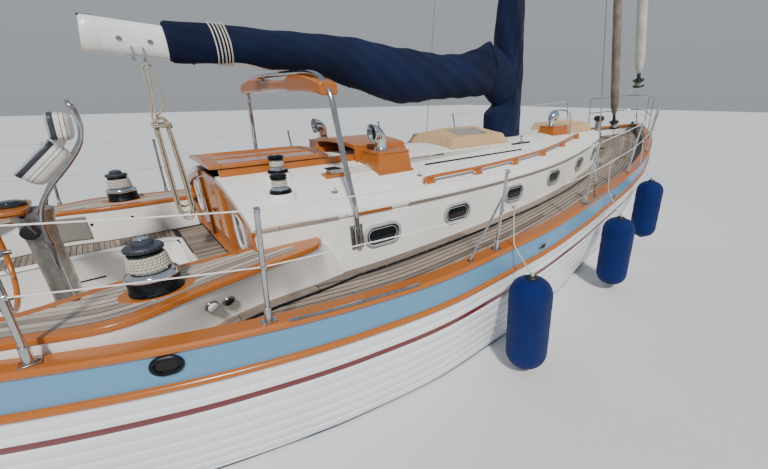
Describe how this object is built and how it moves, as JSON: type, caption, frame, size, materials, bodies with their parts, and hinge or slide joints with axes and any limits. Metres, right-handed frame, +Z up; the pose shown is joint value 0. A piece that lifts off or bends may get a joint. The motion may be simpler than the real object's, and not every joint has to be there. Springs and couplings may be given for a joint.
{
  "type": "sailing yacht",
  "caption": "Double-ended cutter afloat with a teak deck, a cabin trunk, a stowed mainsail on its boom, furled headsails and a long keel.",
  "frame": {"origin": "on the centreline at the waterline, amidships, 5.95 m forward of the sternpost's top", "axes": "+X to the bow, +Y to port, +Z up"},
  "size_m": [11.864, 4.3384, 18.1],
  "materials": {
    "topsides": "gloss",
    "antifouling": "matte",
    "bronze": "satin",
    "varnished_teak": "gloss",
    "weathered_teak": "matte",
    "deck_paint": "satin",
    "winch_metal": "polished",
    "white_plastic": "satin",
    "stainless": "polished",
    "spar_paint": "gloss",
    "navy_canvas": "woven",
    "sailcloth": "woven",
    "tan_canvas": "woven",
    "fender_vinyl": "satin",
    "rope": "braided",
    "engine_paint": "matte"
  },
  "bodies": {
    "hull": {"hull_stern": "topsides", "hull_middle": "topsides", "hull_bow": "topsides", "keel": "antifouling", "caprail": "varnished_teak", "rub_rail": "varnished_teak", "teak_deck": "weathered_teak", "trunk_side_port": "deck_paint", "trunk_side_starboard": "deck_paint", "trunk_front": "deck_paint", "aft_bulkhead": "varnished_teak", "trunk_roof": "deck_paint", "hatch_rails": "varnished_teak", "sea_hood": "varnished_teak", "coaming_port": "deck_paint", "coaming_starboard": "deck_paint", "coaming_cap_port": "weathered_teak", "coaming_cap_starboard": "weathered_teak", "primary_winch_port": "winch_metal", "primary_winch_starboard": "winch_metal", "roof_winch_outboard": "winch_metal", "roof_winch_inboard": "winch_metal", "steering_pedestal": "white_plastic", "pedestal_guard": "stainless", "instrument_pods": "white_plastic", "gallows_tubes": "stainless", "gallows_beam": "varnished_teak", "mast": "spar_paint", "mast_cover": "navy_canvas", "furled_genoa": "sailcloth", "furled_staysail": "sailcloth", "backstay": "stainless", "cap_shroud_port": "stainless", "cap_shroud_starboard": "stainless", "dorade_starboard": "varnished_teak", "dorade_port": "varnished_teak", "dorade_forward": "varnished_teak", "skylight_cover": "tan_canvas", "fore_hatch_cover": "tan_canvas", "handrail_port": "varnished_teak", "handrail_starboard": "varnished_teak", "lifelines_port": "stainless", "lifelines_starboard": "stainless", "pulpit": "stainless", "pushpit": "stainless", "windlass": "winch_metal", "fender_aft": "fender_vinyl", "fender_middle": "fender_vinyl", "fender_forward": "fender_vinyl", "rope_hank": "rope", "engine_block": "engine_paint"},
    "boom": {"boom": "spar_paint", "boom_cover": "navy_canvas"},
    "wheel": {"steering_wheel": "varnished_teak"},
    "rudder": {"rudder": "antifouling"},
    "propeller": {"propeller": "bronze"},
    "door_port": {"door_port": "varnished_teak"},
    "door_starboard": {"door_starboard": "varnished_teak"},
    "hatch": {"sliding_hatch": "varnished_teak"}
  },
  "joints": [
    {"name": "boom_swing", "type": "hinge", "parent": "hull", "child": "boom", "pos_m": [0.9, 0, 2.28], "axis": [0, 0, 1], "range_deg": [-60, 60]},
    {"name": "rudder_turn", "type": "hinge", "parent": "hull", "child": "rudder", "pos_m": [-4.56, 0, -1.65], "axis": [-0.1344, 0, 0.9909], "range_deg": [-35, 35]},
    {"name": "wheel_turn", "type": "hinge", "parent": "hull", "child": "wheel", "pos_m": [-3.95, 0, 1.21], "axis": [1, 0, 0], "range_deg": [-280, 280]},
    {"name": "propeller_turn", "type": "hinge", "parent": "hull", "child": "propeller", "pos_m": [-4.52, 0, -0.8], "axis": [1, 0, 0], "continuous": true},
    {"name": "door_port_swing", "type": "hinge", "parent": "hull", "child": "door_port", "pos_m": [-2.705, 0.329, 1.25], "axis": [0, 0, -1], "range_deg": [0, 110]},
    {"name": "door_starboard_swing", "type": "hinge", "parent": "hull", "child": "door_starboard", "pos_m": [-2.705, -0.329, 1.25], "axis": [0, 0, 1], "range_deg": [0, 110]},
    {"name": "hatch_slide", "type": "slide", "parent": "hull", "child": "hatch", "axis": [1, 0, 0], "range_m": [0, 0.68]}
  ],
  "couplings": [
    {"joint": "wheel_turn", "follows": "rudder_turn", "ratio": 8}
  ]
}
